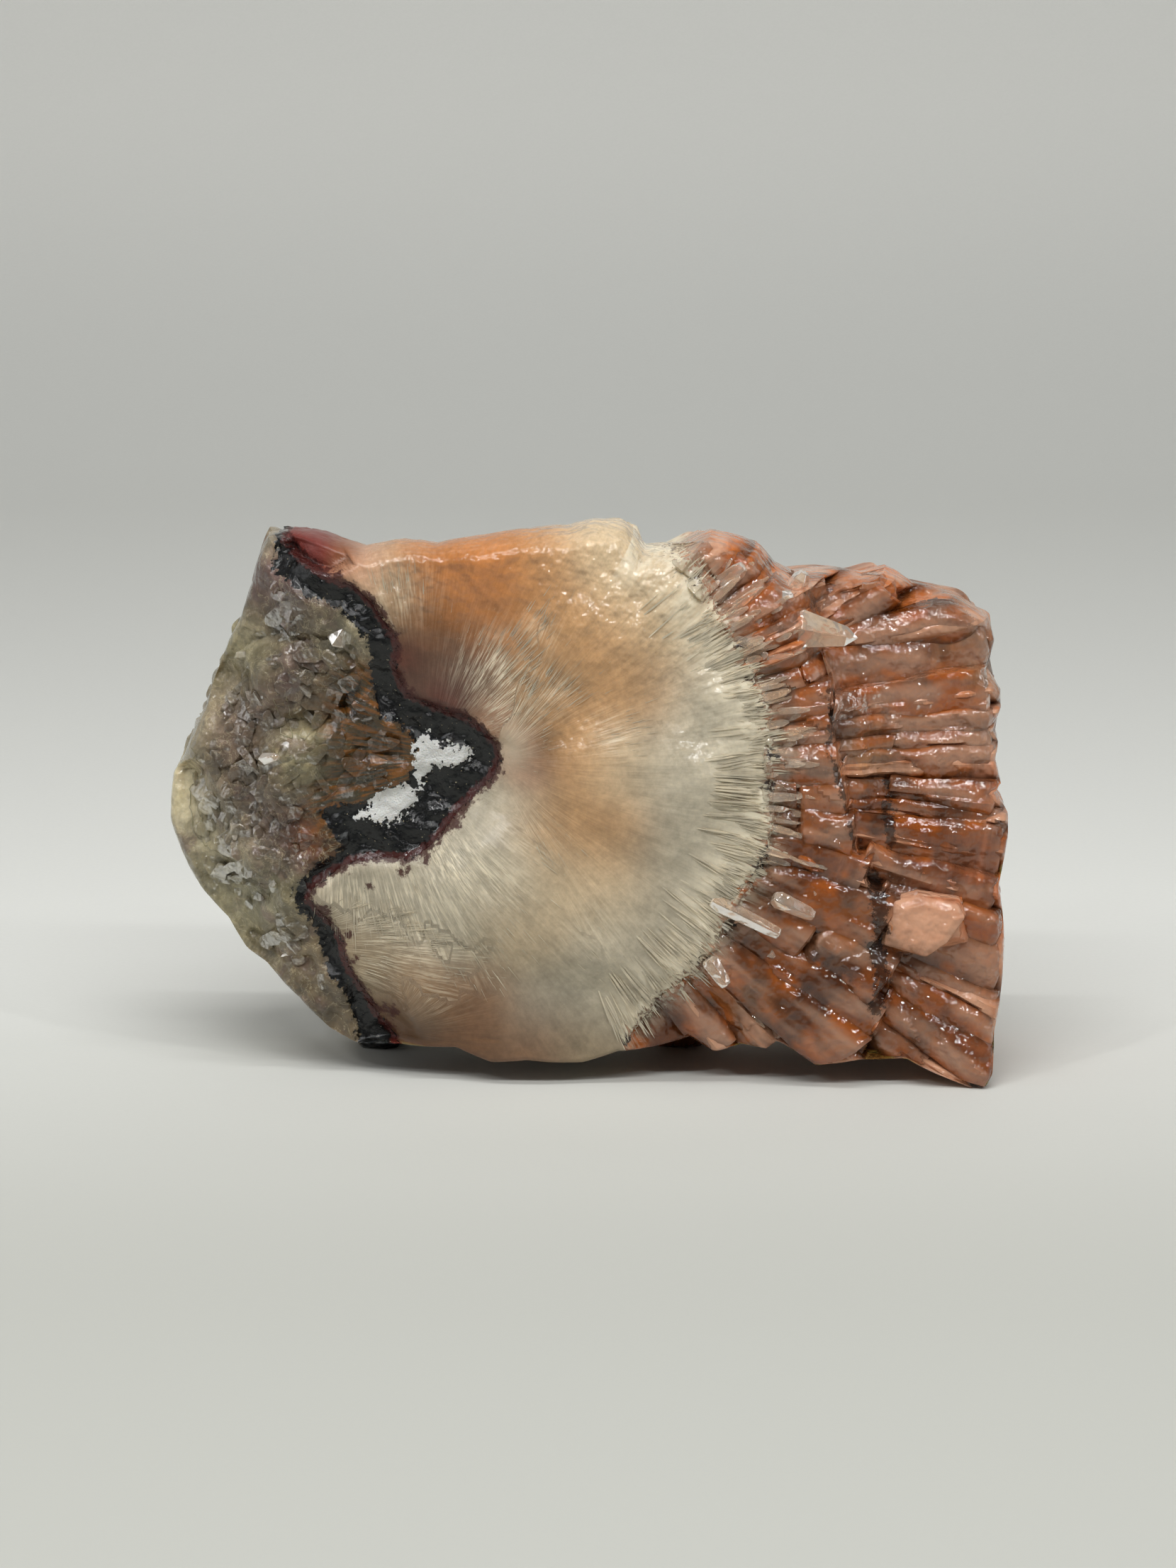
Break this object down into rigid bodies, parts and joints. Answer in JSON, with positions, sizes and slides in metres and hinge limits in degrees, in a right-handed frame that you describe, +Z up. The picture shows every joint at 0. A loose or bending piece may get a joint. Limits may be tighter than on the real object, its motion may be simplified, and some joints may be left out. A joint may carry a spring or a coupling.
{
  "type": "calcite slice",
  "caption": "Banded calcite slice standing on its long edge: a fan of pale fibres between grey matrix with a dark band and red-brown columns, with one flat sawn back.",
  "frame": {"origin": "on the ground below the middle of the standing slice", "axes": "+X along the slice's width from the matrix to the columns, +Y towards the sawn back, +Z up"},
  "size_m": [0.1008, 0.0298, 0.0671],
  "materials": {
    "calcite": "wet-looking translucent calcite, cream to red-brown"
  },
  "bodies": {
    "root": {"calcite_slice": "calcite"}
  },
  "joints": []
}
